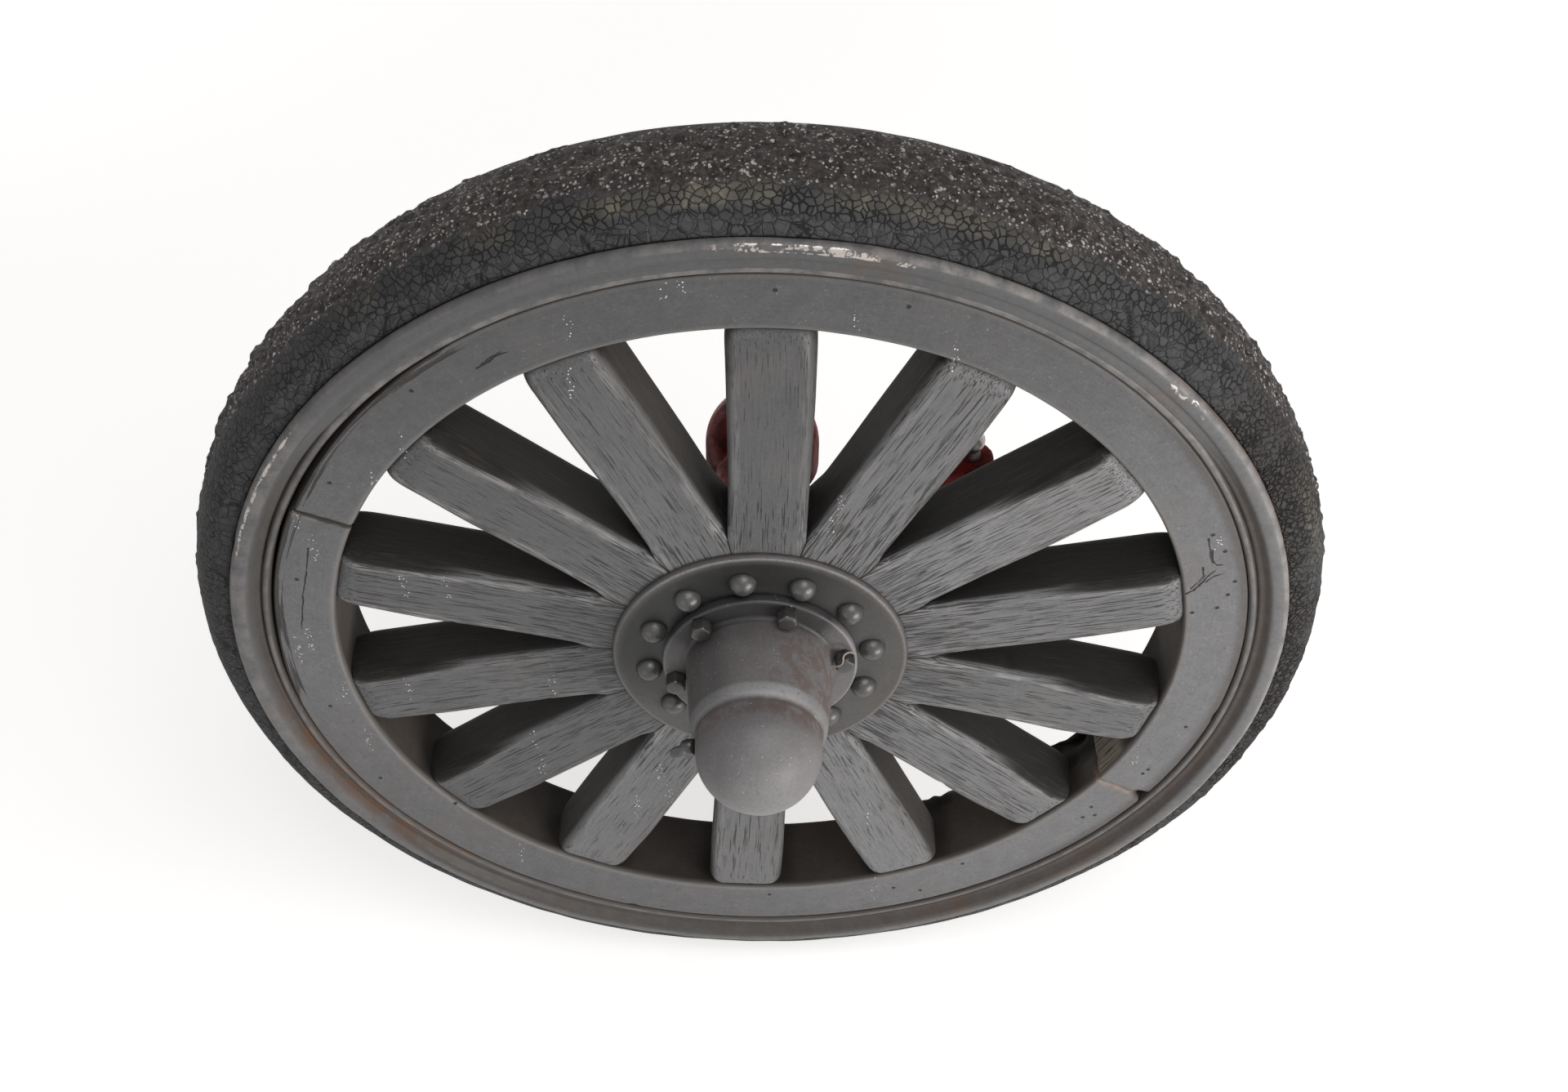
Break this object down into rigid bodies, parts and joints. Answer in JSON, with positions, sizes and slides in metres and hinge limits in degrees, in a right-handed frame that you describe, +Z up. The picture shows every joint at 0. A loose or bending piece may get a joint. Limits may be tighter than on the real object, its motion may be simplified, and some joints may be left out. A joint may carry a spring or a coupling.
{
  "type": "antique delivery truck front wheel with steering knuckle",
  "caption": "Wooden-spoked front wheel of an old delivery truck with a solid rubber tyre, free to spin on a steering knuckle with a tie-rod arm.",
  "frame": {"origin": "on the kingpin axis, level with the spindle axis", "axes": "+Z up along the kingpin, -Y outboard along the spindle, -X towards the front of the truck"},
  "size_m": [0.9077, 0.3765, 0.9078],
  "materials": {
    "tyre": "perished charcoal rubber, cracked into small plates at its side and crumbled, with pale grit, at its tread",
    "rim": "grey paint on iron, brown with rust in its hollow and scraped on its lip",
    "felloe": "weathered grey paint on bent wood, cracked, chipped and dotted with white paint",
    "spoke": "weathered grey paint over open oak grain, dark brown on the sides",
    "hub": "dark grey paint with brown rust showing through",
    "bolts": "dark grey paint, rusty on the small heads",
    "knuckle": "dark red paint with grease and small chips"
  },
  "bodies": {
    "knuckle_body": {"knuckle": "knuckle", "tie_rod_arm": "knuckle", "arm_nut": "knuckle", "ball_stud": "knuckle", "upper_boss": "knuckle", "lower_boss": "knuckle"},
    "wheel": {"cap_bolts": "bolts", "felloe_band": "rim", "felloe_lower": "felloe", "felloe_upper": "felloe", "flange_bolts": "bolts", "hub": "hub", "hub_cap": "hub", "hub_plate": "hub", "rim": "rim", "spoke_01": "spoke", "spoke_02": "spoke", "spoke_03": "spoke", "spoke_04": "spoke", "spoke_05": "spoke", "spoke_06": "spoke", "spoke_07": "spoke", "spoke_08": "spoke", "spoke_09": "spoke", "spoke_10": "spoke", "spoke_11": "spoke", "spoke_12": "spoke", "spoke_13": "spoke", "spoke_14": "spoke", "tyre": "tyre"}
  },
  "joints": [
    {"name": "wheel_spin", "type": "hinge", "parent": "knuckle_body", "child": "wheel", "pos_m": [0, -0.14, 0], "axis": [0, 1, 0], "continuous": true}
  ]
}
